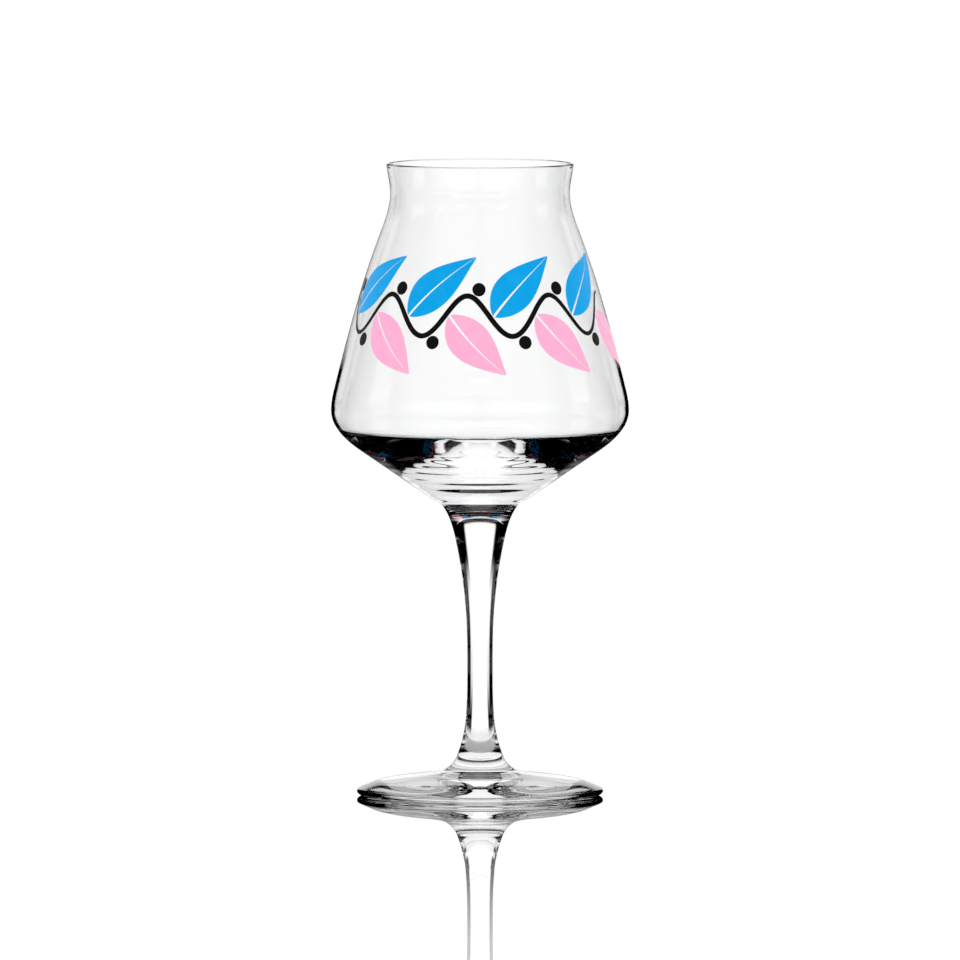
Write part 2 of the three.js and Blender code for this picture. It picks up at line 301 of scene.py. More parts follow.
def uneven_surface(graph, waves, height):
    """Normal of the faintly wavy glass, with rings above the stem."""
    wavy = graph.add(
        "ShaderNodeBump", None, {"Height": waves, "Strength": WAVE_STRENGTH, "Distance": WAVE_DEPTH}
    )
    rings = graph.maths("SINE", height * (2 * math.pi / RING_PITCH))
    rings = rings * graph.band(height, RINGS_START, RINGS_END)
    return graph.add(
        "ShaderNodeBump", None, {"Height": rings, "Strength": 1.0, "Distance": RING_DEPTH, "Normal": wavy}
    )


print("rings above the stem:", round((RINGS_END[1] - RINGS_START[0]) / RING_PITCH))

# %% [markdown]
# Seen edge on, a wall of glass bends and mirrors light from far to its side, where the room is dark, and it
# shows as a black line. The photograph has such lines at the belly and at the ends of the foot. There the
# colour is painted black where the outside of the glass turns away from the eye: painted shade for the dark
# room. A thicker wall or a darker room would draw these lines too, but would also darken the rest of the
# bowl.

# %% Painted dark edges of the glass
# Pairs are the ends of a soft change: heights, or shares from 0 to 1
BELLY_START = (104 * MM, 112 * MM)
BELLY_END = (129 * MM, 142 * MM)
BELLY_EDGE_ON = (0.75, 0.8)  # share of edge-on view
FOOT_RIM_END = (2.0 * MM, 2.6 * MM)
FOOT_RIM_EDGE_ON = (0.2, 0.42)
FOOT_RIM_UPRIGHT = (0.4, 0.65)  # how upright the rim stands


def painted_dark_edges(graph, place, height):
    """Share of painted black, a painted shade for the dark room, at the outer edges of the belly and of the
    foot.
    """
    normal = graph.add("ShaderNodeTexCoord").out("Normal")
    from_axis = graph.add("ShaderNodeVectorMath", {"operation": "MULTIPLY"}, {0: place, 1: (1.0, 1.0, 0.0)})
    outward = graph.add("ShaderNodeVectorMath", {"operation": "DOT_PRODUCT"}, {0: normal, 1: from_axis})
    entering = 1 - graph.add("ShaderNodeNewGeometry").out("Backfacing")
    outside = entering * graph.maths("GREATER_THAN", outward.out("Value"), 0.0)
    edge_on = graph.add("ShaderNodeLayerWeight", None, {"Blend": 0.5}).out("Facing")
    belly = graph.band(height, BELLY_START, BELLY_END) * graph.smooth_step(edge_on, *BELLY_EDGE_ON)
    upward = graph.parts(normal).out("Z")
    upright = graph.smooth_step(1 - upward * upward, *FOOT_RIM_UPRIGHT)
    low = 1 - graph.smooth_step(height, *FOOT_RIM_END)
    rim = upright * low * graph.smooth_step(edge_on, *FOOT_RIM_EDGE_ON)
    return (belly + rim) * outside


print("dark belly from", BELLY_START[0] / MM, "to", BELLY_END[1] / MM, "mm")

# %% [markdown]
# The finish puts these together with the index of crystal glass and a tint that is hardly there. A wiped
# glass also keeps a trace of haze, so the roughness rises a little in patches. One Principled shader with
# full transmission holds it all.

# %% Glass finish
GLASS_INDEX = 1.52
GLASS_TINT = (0.985, 0.992, 0.99, 1.0)
WHITE = (1.0, 1.0, 1.0, 1.0)
BLACK = (0.0, 0.0, 0.0, 1.0)
HAZE_SCALE = 220.0  # patches per metre
HAZE_START = (0.5, 0.9)  # share of the noise between which haze begins
HAZE_ROUGHNESS = 0.003


def clear_glass():
    material, graph = new_finish("clear_glass")
    place = graph.add("ShaderNodeTexCoord").out("Object")
    height = graph.parts(place).out("Z")
    waves = faint_waves(graph, place)
    haze = graph.add("ShaderNodeTexNoise", None, {"Vector": place, "Scale": HAZE_SCALE, "Detail": 3.0})
    tint = graph.mix_colours(waves, GLASS_TINT, WHITE)
    # The base colour is painted black at the edges of the belly and the foot: painted shade for the dark
    # room.
    surface = graph.add(
        "ShaderNodeBsdfPrincipled",
        None,
        {
            "Base Color": graph.mix_colours(painted_dark_edges(graph, place, height), tint, BLACK),
            "Roughness": graph.smooth_step(haze, *HAZE_START) * HAZE_ROUGHNESS,
            "IOR": GLASS_INDEX,
            "Transmission Weight": 1.0,
            "Normal": uneven_surface(graph, waves, height),
        },
    )
    graph.add("ShaderNodeOutputMaterial", None, {"Surface": surface})
    return material


glass_finish = clear_glass()
print("finish:", glass_finish.name)

# %% [markdown]
# ## Shapes from geometry trees
# Two shapes below follow a rule: the turned glass and the repeated print. Each rule is a geometry tree with
# named inputs for its sizes. All trees begin and end alike, so three helpers open a tree, close it and run
# it. What comes out is a plain mesh, and the modifier is taken off again.

# %% Geometry trees
def shape_tree(name, **inputs):
    """A geometry tree with named inputs; gives the graph and the values that it is given."""
    tree = bpy.data.node_groups.new(name, "GeometryNodeTree")
    tree.interface.new_socket("Geometry", in_out="OUTPUT", socket_type="NodeSocketGeometry")
    tree.interface.new_socket("Geometry", in_out="INPUT", socket_type="NodeSocketGeometry")
    for label, kind in inputs.items():
        tree.interface.new_socket(label, in_out="INPUT", socket_type="NodeSocket" + kind)
    graph = Graph(tree)
    return graph, graph.add("NodeGroupInput")


def finish_tree(graph, geometry, material):
    """The end of every geometry tree: instances become real faces, and the finish goes on."""
    real = graph.add("GeometryNodeRealizeInstances", None, {"Geometry": geometry})
    finished = graph.add("GeometryNodeSetMaterial", None, {"Geometry": real, "Material": material})
    graph.add("NodeGroupOutput", None, {"Geometry": finished})


def run_tree(name, mesh, graph, **values):
    """A piece whose mesh goes through a geometry tree and comes out as a plain mesh."""
    piece = bpy.data.objects.new(name, mesh)
    scene.collection.objects.link(piece)
    modifier = piece.modifiers.new(name, "NODES")
    modifier.node_group = graph.tree
    for item in graph.tree.interface.items_tree:
        if item.in_out == "INPUT" and item.name in values:
            modifier[item.identifier] = values[item.name]
    made = bpy.data.meshes.new_from_object(piece.evaluated_get(bpy.context.evaluated_depsgraph_get()))
    piece.modifiers.clear()
    piece.data = made
    made.name = name
    return piece

# %% [markdown]
# ## Turning the glass
# Glass like this is made round on the machine, so the mesh follows one rule: the outline, turned about
# the axis. Blender's Screw modifier could do it too. A geometry tree keeps the rule in view: a flat grid
# is laid out with one row for each point of the outline, and each row is carried to its point and turned
# round. The rows that lie on the axis close to a single corner, and the seam is merged.

# %% Tree that turns an outline
def turned_glass_tree():
    graph, given = shape_tree("turned_glass", Steps="Int", Finish="Material")
    profile = given.out("Geometry")
    rows = graph.add("GeometryNodeAttributeDomainSize", None, {"Geometry": profile}).out("Point Count")
    grid = graph.add(
        "GeometryNodeMeshGrid",
        None,
        {"Size X": 1.0, "Size Y": 1.0, "Vertices X": rows, "Vertices Y": given.out("Steps") + 1},
    )
    place = graph.add("GeometryNodeInputPosition")
    flat = graph.parts(place)
    row = graph.add("FunctionNodeFloatToInt", None, {"Float": (flat.out("X") + 0.5) * (rows - 1)})
    point = graph.add(
        "GeometryNodeSampleIndex",
        {"data_type": "FLOAT_VECTOR"},
        {"Geometry": profile, "Value": place, "Index": row},
    )
    angle = (flat.out("Y") + 0.5) * (2 * math.pi)
    round_place = graph.add(
        "ShaderNodeVectorRotate", {"rotation_type": "Z_AXIS"}, {"Vector": point, "Angle": angle}
    )
    turned = graph.add("GeometryNodeSetPosition", None, {"Geometry": grid, "Position": round_place})
    merged = graph.add("GeometryNodeMergeByDistance", None, {"Geometry": turned, "Distance": TOUCH / 2})
    smooth = graph.add("GeometryNodeSetShadeSmooth", None, {"Geometry": merged})
    finish_tree(graph, smooth, given.out("Finish"))
    return graph


turning = turned_glass_tree()
print("nodes that turn the glass:", len(turning.tree.nodes))

# %% [markdown]
# The tree is run on the outline of the glass. A turned mesh can come out inside out, so its faces are turned
# by the sign of its volume. The volume and the number of open edges show that the glass is one closed body.

# %% Turn the outline into the glass
TURN_STEPS = 192
CM = 0.01


def outline_mesh(points):
    mesh = bpy.data.meshes.new("outline")
    places = [(p.x, 0.0, p.y) for p in points]
    mesh.from_pydata(places, [(k, k + 1) for k in range(len(points) - 1)], [])
    return mesh


def face_outward(piece):
    """Turn the faces of a closed mesh so that they point out of it."""
    body = bmesh.new()
    body.from_mesh(piece.data)
    if body.calc_volume(signed=True) < 0:
        bmesh.ops.reverse_faces(body, faces=body.faces)
    volume = body.calc_volume() / CM**3
    loose = sum(not edge.is_manifold for edge in body.edges)
    body.to_mesh(piece.data)
    body.free()
    print(piece.name, "cm3:", round(volume, 3), "open edges:", loose, "faces:", len(piece.data.polygons))


glass = run_tree("glass", outline_mesh(outline), turning, Steps=TURN_STEPS, Finish=glass_finish)
face_outward(glass)
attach(glass, "root")
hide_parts("bowl", "stem", "foot")

# %% [markdown]
# ## Enamel colours
# The garland is screen printed in three opaque colours and fired, so the colour melts into the glass. It
# is even, with a soft gloss, and only close up a little cloudy where the film is thinner. One function
# makes all three, and the cloudiness and gloss come from noise on the piece's own coordinates.

# %% Enamel finishes
CLOUD_SCALE = 320.0  # clouds per metre
CLOUD_START = (0.35, 0.75)  # share of the noise between which the film is thinner
CLOUD_ROUGHNESS = 0.12
GRAIN_SCALE = 4200.0
GRAIN_STRENGTH = 0.12
GRAIN_DEPTH = 0.01 * MM
ENAMEL_ROUGHNESS = 0.26
ENAMEL_GLOSS = 0.06


def enamel(name, colour, thin_colour):
    material, graph = new_finish(name)
    place = graph.add("ShaderNodeTexCoord").out("Object")
    clouds = graph.add("ShaderNodeTexNoise", None, {"Vector": place, "Scale": CLOUD_SCALE, "Detail": 4.0})
    grain = graph.add("ShaderNodeTexNoise", None, {"Vector": place, "Scale": GRAIN_SCALE, "Detail": 2.0})
    skin = graph.add(
        "ShaderNodeBump", None, {"Height": grain, "Strength": GRAIN_STRENGTH, "Distance": GRAIN_DEPTH}
    )
    surface = graph.add(
        "ShaderNodeBsdfPrincipled",
        None,
        {
            "Base Color": graph.mix_colours(graph.smooth_step(clouds, *CLOUD_START), colour, thin_colour),
            "Roughness": ENAMEL_ROUGHNESS + clouds * CLOUD_ROUGHNESS,
            "Specular IOR Level": ENAMEL_GLOSS,
            "Normal": skin,
        },
    )
    graph.add("ShaderNodeOutputMaterial", None, {"Surface": surface})
    return material


blue_enamel = enamel("blue_enamel", (0.0006, 0.362, 0.815, 1.0), (0.004, 0.392, 0.838, 1.0))
pink_enamel = enamel("pink_enamel", (1.0, 0.440, 0.665, 1.0), (1.0, 0.475, 0.690, 1.0))
black_enamel = enamel("black_enamel", (0.0012, 0.0012, 0.0012, 1.0), (0.003, 0.003, 0.003, 1.0))
print("enamels:", blue_enamel.name, pink_enamel.name, black_enamel.name)

# %% [markdown]
# ## The garland
# A black vine waves round the front of the bowl, with a blue leaf above each fall, a pink leaf below each
# rise and a berry beside each leaf. The length of a wave comes from the sizes of a leaf and a berry and from
# the bare glass between them, so that nothing touches.

# %% Sizes of the garland
WAVES = sum(name.startswith("blue_leaf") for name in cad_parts)
GARLAND_HEIGHT = 147.0 * MM
GARLAND_TURN = math.radians(-6.0)
PATTERN_GAP = 1.4 * MM
VINE_SWAY = 6.0 * MM
VINE_WIDTH = 1.6 * MM
LEAF_LENGTH = 25.0 * MM
LEAF_WIDTH = 12.0 * MM
LEAF_LEAN = math.radians(52.0)
BERRY_DIAMETER = 4.0 * MM
TIP_WIDTH = 0.5 * MM


def radius_at(height):
    """Radius of the outside of the bowl at a height over the belly."""
    belly = max(range(len(outline)), key=lambda k: outline[k].x)
    above = next(k for k in range(belly, len(outline)) if outline[k].y > height)
    low, high = outline[above - 1], outline[above]
    share = (height - low.y) / (high.y - low.y)
    return low.x + share * (high.x - low.x)


leaf_reach = LEAF_LENGTH * math.cos(LEAF_LEAN) + LEAF_WIDTH / 2 * math.sin(LEAF_LEAN)
wave_length = leaf_reach + BERRY_DIAMETER + 2 * PATTERN_GAP
wave_turn = wave_length / radius_at(GARLAND_HEIGHT)
print("waves:", WAVES, "wave length in mm:", round(wave_length / MM, 2))

# %% [markdown]
# The drawing is made flat first: sideways and upwards in metres from its place on the vine. It is laid out
# as patches, each a small grid whose corners a function puts in their place.

# %% Flat drawings
def flat_drawing(name, patches):
    """Flat mesh of patches; each is (steps, columns, place), and place gives wave, sideways and up."""
    points, faces, waves = [], [], []
    for steps, columns, place in patches:
        first = len(points)
        for i in range(steps + 1):
            for j in range(columns + 1):
                wave, sideways, up = place(i / steps, j / columns)
                points.append((sideways, 0.0, up))
                waves.append(wave)
        for i in range(steps):
            for j in range(columns):
                a = first + i * (columns + 1) + j
                b = a + columns + 1
                faces.append((a, b, b + 1, a + 1))
    mesh = bpy.data.meshes.new(name)
    mesh.from_pydata(points, [], faces)
    mesh.attributes.new("wave", "FLOAT", "POINT").data.foreach_set("value", waves)
    return mesh


def turned_by(lean, along, across):
    sideways = along * math.cos(lean) - across * math.sin(lean)
    up = along * math.sin(lean) + across * math.cos(lean)
    return sideways, up

# %% [markdown]
# A leaf is drawn as two blades with a bare rib between them, as a printed leaf would be. It leans over,
# bends further towards its tip, and is widest before its middle.

# %% Leaf
LEAF_SWEEP = 3.6 * MM
LEAF_GAP = 0.9 * MM
LEAF_FULLNESS = 0.75  # below 1, the widest place is nearer to the base than to the tip
LEAF_GRID = (48, 10)  # steps along and across a blade
RIB_WIDTH = 0.7 * MM
RIB_TIP_WIDTH = 0.04 * MM


def leaf_width(share):
    return TIP_WIDTH + (LEAF_WIDTH - TIP_WIDTH) * math.sin(math.pi * share**LEAF_FULLNESS)


def leaf_drawing(side):
    """A leaf of two blades; side is 1 above the vine and -1 below it."""
    start = side * (VINE_WIDTH / 2 + LEAF_GAP)

    def blade(half):
        def place(share, over):
            rib = RIB_WIDTH / 2 * (1 - share) + RIB_TIP_WIDTH / 2
            edge = leaf_width(share) / 2
            low, high = (rib, edge) if half > 0 else (-edge, -rib)
            across = low + (high - low) * over - side * LEAF_SWEEP * share**2
            sideways, up = turned_by(side * LEAF_LEAN, share * LEAF_LENGTH, across)
            return 0.0, sideways, start + up

        return place

    return flat_drawing("leaf", [(*LEAF_GRID, blade(1)), (*LEAF_GRID, blade(-1))])


def leaf_overhang():
    """How far a leaf bulges back past its own base."""
    backs = []
    for k in range(LEAF_GRID[0] + 1):
        share = k / LEAF_GRID[0]
        half = leaf_width(share) / 2
        backs.append(half * math.sin(LEAF_LEAN) - share * LEAF_LENGTH * math.cos(LEAF_LEAN))
    return max(backs)


print("a leaf bulges back by mm:", round(leaf_overhang() / MM, 2))

# %% [markdown]
# A berry is a round dot, drawn as a grid that is squeezed into a circle. The vine is a ribbon. Its width is
# laid square to the wave at each step, and it thins out towards both ends.

# %% Berry and vine
BERRY_GAP = 1.1 * MM
BERRY_GRID = (32, 12)  # steps along and across
VINE_TAPER = 0.4
VINE_GRID = (96, 4)  # steps along a wave and across


def berry_drawing(side):
    radius = BERRY_DIAMETER / 2
    middle = side * (VINE_WIDTH / 2 + BERRY_GAP + radius)
    end_turn = math.asin(TIP_WIDTH / BERRY_DIAMETER / 4)

    def place(share, over):
        turn = end_turn + (math.pi - 2 * end_turn) * share
        return 0.0, -radius * math.cos(turn), middle + (2 * over - 1) * radius * math.sin(turn)

    return flat_drawing("berry", [(*BERRY_GRID, place)])


def vine_drawing():
    def place(share, over):
        wave = WAVES * share
        climb = -2 * math.pi * VINE_SWAY * math.sin(2 * math.pi * wave)
        height = GARLAND_HEIGHT + VINE_SWAY * math.cos(2 * math.pi * wave)
        lean = math.atan2(climb, wave_turn * radius_at(height))
        width = TIP_WIDTH + (VINE_WIDTH - TIP_WIDTH) * max(0.0, math.sin(math.pi * share)) ** VINE_TAPER
        sideways, up = turned_by(lean, 0.0, (over - 0.5) * width)
        return wave, sideways, up

    return flat_drawing("vine", [(VINE_GRID[0] * WAVES, VINE_GRID[1], place)])


print("vine in mm:", round(WAVES * wave_length / MM, 1))

# %% [markdown]
# ## The print
# The flat drawing is printed on the bowl by a geometry tree. It repeats the drawing along the vine, looks up
# the radius of the glass at each corner's height by a ray, wraps the corner round to its angle, and raises
# the film. On the real glass the enamel is melted in, and its back is about as bright as its front. A film
# sunk into the glass would render dark from behind, because most of its light would be turned back inside
# the wall. So it lies a hundredth of a millimetre above the glass.

# %% Copies along the vine and the glass under them
RAY_START = 0.2  # metres from the axis, well outside the glass
RAY_LENGTH = 0.3


def copies_along_vine(graph, given):
    """The drawing once for each wave, with the number of its wave stored on each copy."""
    line = graph.add("GeometryNodeMeshLine", None, {"Count": given.out("Copies"), "Offset": (0.0, 0.0, 0.0)})
    number = graph.add("GeometryNodeInputIndex") + given.out("First")
    marked = graph.add(
        "GeometryNodeStoreNamedAttribute",
        {"data_type": "FLOAT", "domain": "POINT"},
        {"Geometry": line, "Name": "copy_wave", "Value": number},
    )
    copies = graph.add(
        "GeometryNodeInstanceOnPoints", None, {"Points": marked, "Instance": given.out("Geometry")}
    )
    return graph.add("GeometryNodeRealizeInstances", None, {"Geometry": copies})


def ray_to_glass(graph, glass_piece, height):
    """A level ray from outside towards the axis, which finds the glass at a height."""
    source = graph.add("ShaderNodeCombineXYZ", None, {"X": RAY_START, "Y": TOUCH, "Z": height})
    target = graph.add("GeometryNodeObjectInfo", {"transform_space": "RELATIVE"}, {"Object": glass_piece})
    return graph.add(
        "GeometryNodeRaycast",
        None,
        {
            "Target Geometry": target.out("Geometry"),
            "Source Position": source,
            "Ray Direction": (-1.0, 0.0, 0.0),
            "Ray Length": RAY_LENGTH,
        },
    )


def closed_film(graph, back, height):
    """A film of a given height on its back, closed all round."""
    front = graph.add(
        "GeometryNodeExtrudeMesh",
        {"mode": "FACES"},
        {"Mesh": back, "Offset Scale": height, "Individual": False},
    )
    flipped = graph.add("GeometryNodeFlipFaces", None, {"Mesh": back})
    both = graph.add("GeometryNodeJoinGeometry", None, {"Geometry": front})
    graph.tree.links.new(flipped.socket, both.socket.node.inputs["Geometry"])
    return graph.add("GeometryNodeMergeByDistance", None, {"Geometry": both, "Distance": TOUCH / 2})

# %% [markdown]
# The tree puts these steps in a row. A corner's angle round the bowl is that of its wave, plus its way
# sideways over the radius at its own height, so the drawing keeps its width on the leaning flank.

# %% Tree that prints a drawing
PRINT_INPUTS = {
    "Glass": "Object",
    "Copies": "Int",
    "First": "Float",
    "Start": "Float",
    "Turn": "Float",
    "Middle": "Float",
    "Sway": "Float",
    "Gap": "Float",
    "Height": "Float",
    "Finish": "Material",
}


def printing_tree():
    graph, given = shape_tree("printed_on_glass", **PRINT_INPUTS)
    sheet = copies_along_vine(graph, given)

    def stored(name):
        return graph.add("GeometryNodeInputNamedAttribute", {"data_type": "FLOAT"}, {"Name": name})

    wave = stored("wave") + stored("copy_wave")
    flat = graph.parts(graph.add("GeometryNodeInputPosition"))
    swing = graph.maths("COSINE", wave * (2 * math.pi))
    height = given.out("Middle") + given.out("Sway") * swing + flat.out("Z")
    ray = ray_to_glass(graph, given.out("Glass"), height)
    on_glass = ray.out("Hit Position")
    angle = given.out("Start") + given.out("Turn") * wave + flat.out("X") / graph.parts(on_glass)
    lift = graph.add(
        "ShaderNodeVectorMath",
        {"operation": "SCALE"},
        {"Vector": ray.out("Hit Normal"), "Scale": given.out("Gap")},
    )
    lifted = graph.add("ShaderNodeVectorMath", {"operation": "ADD"}, {0: on_glass, 1: lift})
    wrapped = graph.add(
        "ShaderNodeVectorRotate",
        {"rotation_type": "Z_AXIS"},
        {"Vector": lifted, "Angle": angle - math.pi / 2},
    )
    back = graph.add("GeometryNodeSetPosition", None, {"Geometry": sheet, "Position": wrapped})
    film = closed_film(graph, back, given.out("Height") - given.out("Gap"))
    finish_tree(graph, film, given.out("Finish"))
    return graph


garland_print = printing_tree()
print("nodes that print the garland:", len(garland_print.tree.nodes))

# %% [markdown]
# Each colour and motif is printed as a piece of its own. Leaves stand a little after the crest of their
# wave, the pink ones half a wave later than the blue ones, and each berry stands just before its leaf.

# %% Print the garland on the bowl
FILM_GAP = 0.01 * MM  # film of air behind the enamel, which keeps its back as bright as its front
FILM_HEIGHT = 0.05 * MM
LEAF_PHASE = 0.3  # in waves
HALF_WAVE = 0.5


def printed(name, drawing, finish, nodes, first=0.0, copies=WAVES):
    piece = run_tree(
        name,
        drawing,
        garland_print,
        Glass=glass,
        Copies=copies,
        First=float(first),
        Start=GARLAND_TURN - wave_turn * WAVES / 2,
        Turn=wave_turn,
        Middle=GARLAND_HEIGHT,
        Sway=VINE_SWAY,
        Gap=FILM_GAP,
        Height=FILM_HEIGHT,
        Finish=finish,
    )
    face_outward(piece)
    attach(piece, "root")
    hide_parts(*nodes)


def numbered(motif):
    return [f"{motif}_{k + 1}" for k in range(WAVES)]


blue_leaves, pink_leaves = numbered("blue_leaf"), numbered("pink_leaf")
upper_berries, lower_berries = numbered("upper_berry"), numbered("lower_berry")
berry_phase = LEAF_PHASE - (leaf_overhang() + PATTERN_GAP + BERRY_DIAMETER / 2) / wave_length
printed("vine", vine_drawing(), black_enamel, ["garland_vine"], copies=1)
printed("blue_leaves", leaf_drawing(1), blue_enamel, blue_leaves, LEAF_PHASE)
printed("pink_leaves", leaf_drawing(-1), pink_enamel, pink_leaves, LEAF_PHASE + HALF_WAVE)
printed("upper_berries", berry_drawing(1), black_enamel, upper_berries, berry_phase)
printed(
    "lower_berries", berry_drawing(-1), black_enamel, lower_berries, berry_phase + HALF_WAVE
)

# %% [markdown]
# ## Kinds of light in the glass
# Clear glass has no look of its own: it shows what its light met on the way. Light that only crosses the
# two thin walls of the bowl comes straight from behind and is clear. Light that the stem bends, as a lens
# does, comes from a wide part of the room. Light that is also turned back inside the thick glass comes
# from anywhere, and in the photograph that is mostly black. It is sorted by the number of its turns: once,
# as in the bottom of the bowl, a few times, as in the head of the stem, or often, as in the foot. Light
# mirrored by the outside of the glass is a kind of its own. The Light Path node counts the bounces of a ray,
# so the table and the room can tell the kinds apart.

# %% Kinds of light
LENS_CROSSINGS = 2  # surfaces that light crosses in the stem; in the bowl it crosses more
FEW_TURNS = 4  # the most turns that still count as a few


def light_kinds(graph):
    """Masks for the kinds of light; light for the camera or for matt faces belongs to none of them."""
    path = graph.add("ShaderNodeLightPath")

    def more_than(number, count):
        return graph.maths("GREATER_THAN", count, number + 0.5)

    glassy = 1 - more_than(0, path.out("Diffuse Depth"))
    off_glass = path.out("Is Glossy Ray") * path.out("Is Singular Ray")
    off_table = path.out("Is Glossy Ray") * (1 - path.out("Is Singular Ray"))
    through = more_than(0, path.out("Transmission Depth")) * glassy
    turns = path.out("Glossy Depth") - off_table
    turned = more_than(0, turns) * through
    twice = more_than(1, turns) * through
    often = more_than(FEW_TURNS, turns) * through
    clear = more_than(LENS_CROSSINGS, path.out("Transmission Depth")) * (through - turned)
    return {
        "through": through,
        "clear": clear,
        "bent": through - turned - clear,
        "turned": turned,
        "once": turned - twice,
        "few": twice - often,
        "often": often,
        "mirrored": off_glass * (1 - through) * glassy,
        "again": more_than(1, path.out("Glossy Depth")),
        "way": path.out("Ray Length"),
    }


def bearing(graph, vector):
    """Angle of a place or a direction in degrees: 0 straight behind the glass, 180 in front, either side."""
    parts = graph.parts(vector)
    return graph.maths("ARCTAN2", abs(parts.out("X")), parts.out("Y")) * math.degrees(1)

# %% [markdown]
# ## The table
# The photograph's table is a polished white sheet. Round the glass lie painted dark cards, which only the
# light in the glass finds: one near, one at each side, one far off and one under the foot. They are painted
# shade that draws the black in the thick bottom of the bowl and in the foot. A photographer uses real cards
# for the same purpose. Cards as separate pieces would also show on the white table, so they are masks that
# paint the table's finish black for that light only.

# %% Places on the table
# Pairs are the ends of a soft change in metres: from the axis, or as a way along the light down to the table
UNDER_FOOT_END = (0.05, 0.06)
UNDER_FOOT_WAY = (0.0026, 0.0036)
UNDER_RIM_START = (0.0371, 0.0376)
UNDER_RIM_WAY = (0.0009, 0.0012)


def table_spot(graph):
    """Where on the table light falls, and how flat it comes in."""
    place = graph.add("ShaderNodeTexCoord").out("Object")
    from_behind = bearing(graph, place)
    return {
        "from_axis": graph.add("ShaderNodeVectorMath", {"operation": "LENGTH"}, {0: place}).out("Value"),
        "sideways": abs(graph.parts(place).out("X")),
        "from_behind": from_behind,
        "turn": graph.maths("MINIMUM", from_behind, 180 - from_behind),
        "edge_on": graph.add("ShaderNodeLayerWeight", None, {"Blend": 0.5}).out("Facing"),
    }


def painted_card_under_foot(graph, kinds, spot):
    """The painted black card under the hollow of the foot, and under its rim for light that was turned often.
    """
    hollow = graph.smooth_step(kinds["way"], *UNDER_FOOT_WAY)
    rim = graph.smooth_step(spot["from_axis"], *UNDER_RIM_START)
    rim = graph.maths("MAXIMUM", rim, graph.smooth_step(kinds["way"], *UNDER_RIM_WAY))
    painted_card = graph.maths("MAXIMUM", hollow, kinds["often"] * rim)
    return painted_card * (1 - graph.smooth_step(spot["from_axis"], *UNDER_FOOT_END))

# %% [markdown]
# The near card is a ring. The side cards lie beyond it, and the far card leaves a lane free straight behind
# the glass and in front of it. Light that was turned once finds less of them, so that the bottom of the bowl
# has black wedges at its sides and a clear middle.

# %% Painted dark cards
# Pairs are the ends of a soft change: metres from the axis, or degrees from straight behind or in front
NEAR_CARD_START = (0.06, 0.1)
NEAR_CARD_END = (0.4, 0.48)
NEAR_CARD_ONCE_START = (32.0, 38.0)
SIDE_CARD_TURN = (35.0, 45.0)
SIDE_CARD_END = (1.2, 1.4)
FAR_CARD_TURN = (5.0, 15.0)
FAR_CARD_ONCE_END = (24.0, 28.0)
FAR_CARD_END = (2.6, 3.4)
FAR_CARD_EDGE_ON = (0.977, 0.985)  # share of edge-on view between which the card ends


def painted_dark_cards(graph, kinds, spot):
    """Share of painted black on the table, a painted shade for light that was turned back inside the glass.
    """
    once = kinds["once"]
    near = graph.band(spot["from_axis"], NEAR_CARD_START, NEAR_CARD_END) + painted_card_under_foot(graph, kinds, spot)
    near = near * (1 - once * (1 - graph.smooth_step(spot["from_behind"], *NEAR_CARD_ONCE_START)))
    side = graph.band(spot["from_axis"], NEAR_CARD_END, SIDE_CARD_END)
    side = side * graph.smooth_step(spot["turn"], *SIDE_CARD_TURN)
    far = graph.band(spot["from_axis"], SIDE_CARD_END, FAR_CARD_END)
    far = far * graph.smooth_step(spot["turn"], *FAR_CARD_TURN)
    far = far * (1 - graph.smooth_step(spot["edge_on"], *FAR_CARD_EDGE_ON))
    far = far * (1 - once * graph.smooth_step(spot["turn"], *FAR_CARD_ONCE_END))
    return near + side + far

# %% [markdown]
# Two more kinds of light get their own painted shade. For clear light the table is painted dim under the
# foot. Light that the outside of the glass mirrors finds the table painted dark, with one bright patch before
# the glass and one behind it.

# %% Painted shade on the table
# Pairs are the ends of a soft change in metres: from the axis, or to either side of it
FOOT_SHADE_END = (0.04, 0.05)
FOOT_SHADE_DEPTH = 0.65  # share of black
MIRRORED_RING = ((0.17, 0.26), (0.42, 0.55))
MIRRORED_RING_SIDE = (0.06, 0.09)


def table_shade(graph, kinds, spot):
    """Share of painted black on the table for all kinds of light from the glass."""
    under_foot = 1 - graph.smooth_step(spot["from_axis"], *FOOT_SHADE_END)
    bright = graph.band(spot["from_axis"], *MIRRORED_RING)
    bright = bright * (1 - graph.smooth_step(spot["sideways"], *MIRRORED_RING_SIDE))
    shade = kinds["turned"] * painted_dark_cards(graph, kinds, spot)
    shade = shade + kinds["clear"] * under_foot * FOOT_SHADE_DEPTH
    return shade + kinds["mirrored"] * (1 - bright)

# %% [markdown]
# The sheet itself is white and matt seen from above and a mirror seen along it, so the share of the mirror
# follows the angle of view. The mirror fades away from the foot, as the stem's image does in the photograph.
# A film of air lies between foot and table, or light in the glass would meet the table before it leaves the
# foot.

# %% Polished white table
TABLE_SIZE = 60.0
TABLE_GAP = 0.05 * MM  # film of air under the foot
MIRROR_ROUGHNESS = 0.006
MIRROR_START = (0.82, 0.9)  # share of edge-on view between which the mirror begins
GLASS_MIRROR_START = (0.6, 0.76)  # the same for light from the glass
MIRROR_FADE = 0.6  # share of the mirror that is lost away from the foot
MIRROR_FADE_WAY = (0.1, 0.6)  # metres from the axis between which the mirror fades


